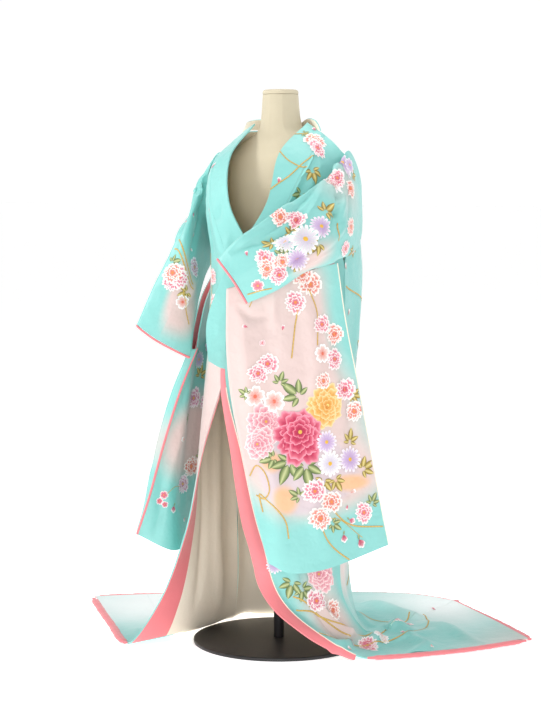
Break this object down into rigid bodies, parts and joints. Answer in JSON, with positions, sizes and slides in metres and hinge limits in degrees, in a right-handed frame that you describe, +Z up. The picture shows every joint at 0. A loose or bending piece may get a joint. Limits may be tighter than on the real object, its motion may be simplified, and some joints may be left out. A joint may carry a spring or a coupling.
{
  "type": "uchikake wedding kimono on a limbless dress form with a round base",
  "caption": "Open-fronted trained wedding kimono with long hanging sleeves and padded coral hem, worn by a limbless linen dress form on a pole and round base plate.",
  "frame": {"origin": "centre of the base plate's underside, on the floor", "axes": "+Z up, -Y the garment's front, +X the wearer's left"},
  "size_m": [1.3566, 1.0498, 1.502],
  "materials": {
    "silk_outer": "turquoise satin silk with pale pink haze, dyed flowers and gold cords",
    "silk_coral": "coral habutae silk, soft sheen",
    "silk_lining": "cream plain-weave silk",
    "linen": "natural linen, matt",
    "stand": "black satin powder coat"
  },
  "bodies": {
    "root": {"back_right": "silk_outer", "back_left": "silk_outer", "front_right": "silk_outer", "front_left": "silk_outer", "okumi_right": "silk_outer", "okumi_left": "silk_outer", "collar_right": "silk_outer", "collar_left": "silk_outer", "collar_neck": "silk_outer", "sleeve_right_arm": "silk_outer", "sleeve_left_arm": "silk_outer", "sleeve_right_bag": "silk_outer", "sleeve_left_bag": "silk_outer", "cuff_right": "silk_coral", "cuff_left": "silk_coral", "front_band_right": "silk_coral", "front_band_left": "silk_coral", "fuki_right": "silk_coral", "fuki_left": "silk_coral", "fuki_hem": "silk_coral", "lining_right": "silk_lining", "lining_back": "silk_lining", "lining_left": "silk_lining", "form_torso": "linen", "form_cap": "linen", "form_pole": "stand", "form_base": "stand"}
  },
  "joints": []
}
